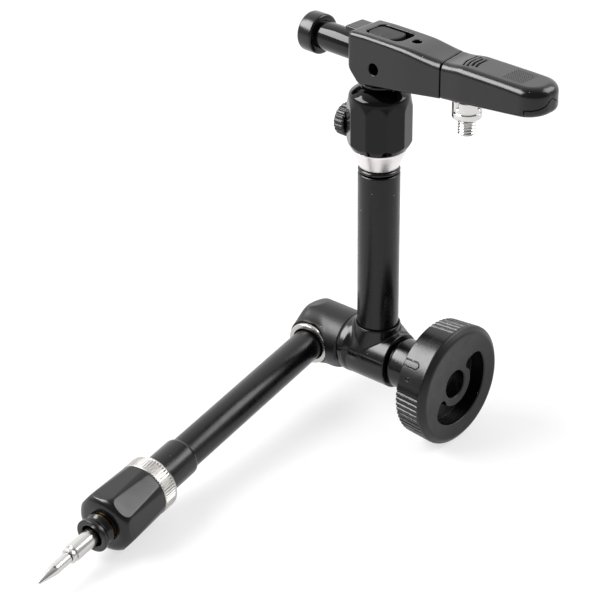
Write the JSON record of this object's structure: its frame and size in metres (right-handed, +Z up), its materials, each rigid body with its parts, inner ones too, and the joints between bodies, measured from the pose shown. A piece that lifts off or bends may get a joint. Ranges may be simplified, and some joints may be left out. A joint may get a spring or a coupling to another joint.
{
  "type": "articulated friction arm",
  "caption": "Black articulated holding arm with an elbow clamping knob, a tilting head with a grip, a spigot and a threaded stud, and a pointed steel probe at its free end.",
  "frame": {"origin": "bottom centre of the whole arm's bounding box, on the surface that the knob rim and chuck touch", "axes": "+Z up along the upper tube, +X along the elbow axis towards the knob, +Y away from the probe"},
  "size_m": [0.1682, 0.289, 0.2333],
  "materials": {
    "black_paint": "satin black paint on cast aluminium",
    "black_tube": "gloss black paint on tube",
    "black_plastic": "fine-grained black moulding",
    "black_rubber": "black rubber",
    "nickel": "bright nickel plate",
    "steel": "turned steel",
    "brass": "turned brass",
    "bearing_plastic": "pale low-friction plastic"
  },
  "bodies": {
    "lower_arm": {"lower_housing": "black_paint", "elbow_cap": "black_paint", "lower_ferrule": "nickel", "lower_tube": "black_tube", "lower_sleeve": "black_paint", "chuck": "black_paint", "nose_bush": "black_paint", "nose_shim": "brass", "ball_ring": "bearing_plastic", "lower_rod_guide": "brass", "lower_rod_spring": "steel"},
    "draw_bolt": {"draw_bolt": "steel", "lower_wedge": "steel"},
    "lower_push_rod": {"lower_rod": "steel", "lower_rod_pad": "brass"},
    "lock_ring": {"lock_ring": "nickel"},
    "probe_swivel": {"ball_seat": "bearing_plastic"},
    "probe": {"probe_shank": "nickel", "probe_tip": "nickel"},
    "upper_arm": {"upper_housing": "black_paint", "elbow_washer": "bearing_plastic", "elbow_seal": "black_rubber", "upper_tube": "black_tube", "upper_seal": "black_rubber", "neck_ring": "nickel", "collar": "black_paint", "upper_rod_guide": "brass", "head_seat": "bearing_plastic", "upper_rod_spring": "steel"},
    "thrust_collar": {"thrust_collar": "black_paint", "upper_wedge": "steel"},
    "elbow_knob": {"knob": "black_plastic", "knob_plate": "steel", "knob_nut": "steel", "knob_screw_a": "steel", "knob_screw_b": "steel"},
    "upper_push_rod": {"upper_rod": "steel", "upper_rod_pad": "brass"},
    "thumb_pad": {"thumb_pad": "brass"},
    "thumb_screw": {"thumb_stem": "steel", "thumb_knob": "black_plastic"},
    "head_stem": {"head_ball": "steel", "head_tongue": "black_paint"},
    "head": {"head_body": "black_paint", "pivot_pin": "steel", "grub_screw": "steel", "grip_shell": "black_plastic", "grip_cover": "black_plastic", "grip_tang": "steel", "accessory_stud": "nickel", "latch_spring": "steel"},
    "latch": {"latch_button": "black_plastic"},
    "spigot": {"spigot": "black_paint"},
    "stud_collar": {"stud_collar": "nickel"}
  },
  "joints": [
    {"name": "elbow_swing", "type": "hinge", "parent": "lower_arm", "child": "upper_arm", "pos_m": [-0.03132, 0.10952, 0.0367], "axis": [1, 0, 0], "range_deg": [-180, 75]},
    {"name": "knob_turn", "type": "hinge", "parent": "thrust_collar", "child": "elbow_knob", "pos_m": [0.00928, 0.10952, 0.0367], "axis": [1, 0, 0], "range_deg": [0, 360]},
    {"name": "collar_slide", "type": "slide", "parent": "upper_arm", "child": "thrust_collar", "axis": [1, 0, 0], "range_m": [0, 0.00075]},
    {"name": "bolt_slide", "type": "slide", "parent": "lower_arm", "child": "draw_bolt", "axis": [-1, 0, 0], "range_m": [0, 0.00075]},
    {"name": "lower_rod_slide", "type": "slide", "parent": "lower_arm", "child": "lower_push_rod", "axis": [-0.1152, 0.9882, 0.1011], "range_m": [0, 0.00021], "deforming": ["lower_rod_spring"]},
    {"name": "upper_rod_slide", "type": "slide", "parent": "upper_arm", "child": "upper_push_rod", "axis": [0, 0, -1], "range_m": [0, 0.00021], "deforming": ["upper_rod_spring"]},
    {"name": "lock_ring_turn", "type": "hinge", "parent": "lower_arm", "child": "lock_ring", "pos_m": [-0.05322, -0.04829, 0.02056], "axis": [0.1152, -0.9882, -0.1011], "continuous": true},
    {"name": "probe_turn", "type": "hinge", "parent": "lower_arm", "child": "probe_swivel", "pos_m": [-0.04915, -0.08318, 0.01699], "axis": [0.1152, -0.9882, -0.1011], "continuous": true},
    {"name": "probe_tilt", "type": "hinge", "parent": "probe_swivel", "child": "probe", "pos_m": [-0.04915, -0.08318, 0.01699], "axis": [0.9933, 0.1158, 0], "range_deg": [-4, 4]},
    {"name": "thumb_slide", "type": "slide", "parent": "upper_arm", "child": "thumb_pad", "axis": [-1, 0, 0], "range_m": [0, 0.001]},
    {"name": "thumb_turn", "type": "hinge", "parent": "thumb_pad", "child": "thumb_screw", "pos_m": [-0.04972, 0.10952, 0.1756], "axis": [-1, 0, 0], "range_deg": [0, 360]},
    {"name": "head_pan", "type": "hinge", "parent": "upper_arm", "child": "head_stem", "pos_m": [-0.03132, 0.10952, 0.1782], "axis": [0, 0, 1], "continuous": true},
    {"name": "head_tilt", "type": "hinge", "parent": "head_stem", "child": "head", "pos_m": [-0.02443, 0.10912, 0.2161], "axis": [0.0576, 0.9983, 0], "range_deg": [0, 30]},
    {"name": "latch_press", "type": "slide", "parent": "head", "child": "latch", "axis": [0, 0, -1], "range_m": [0, 0.0025], "stiffness_N_per_m": 400, "springref_m": -0.002, "deforming": ["latch_spring"]},
    {"name": "spigot_turn", "type": "hinge", "parent": "head", "child": "spigot", "pos_m": [-0.03901, 0.10996, 0.2194], "axis": [-0.9983, 0.0576, 0], "continuous": true},
    {"name": "stud_collar_turn", "type": "hinge", "parent": "head", "child": "stud_collar", "pos_m": [0.02968, 0.106, 0.2114], "axis": [0, 0, 1], "continuous": true}
  ],
  "couplings": [
    {"joint": "collar_slide", "follows": "knob_turn", "m_per_rad": 0.00011937},
    {"joint": "bolt_slide", "follows": "knob_turn", "m_per_rad": 0.00011937},
    {"joint": "lower_rod_slide", "follows": "knob_turn", "m_per_rad": 0.000033423},
    {"joint": "upper_rod_slide", "follows": "knob_turn", "m_per_rad": 0.000033423},
    {"joint": "thumb_slide", "follows": "thumb_turn", "m_per_rad": 0.00015915}
  ]
}
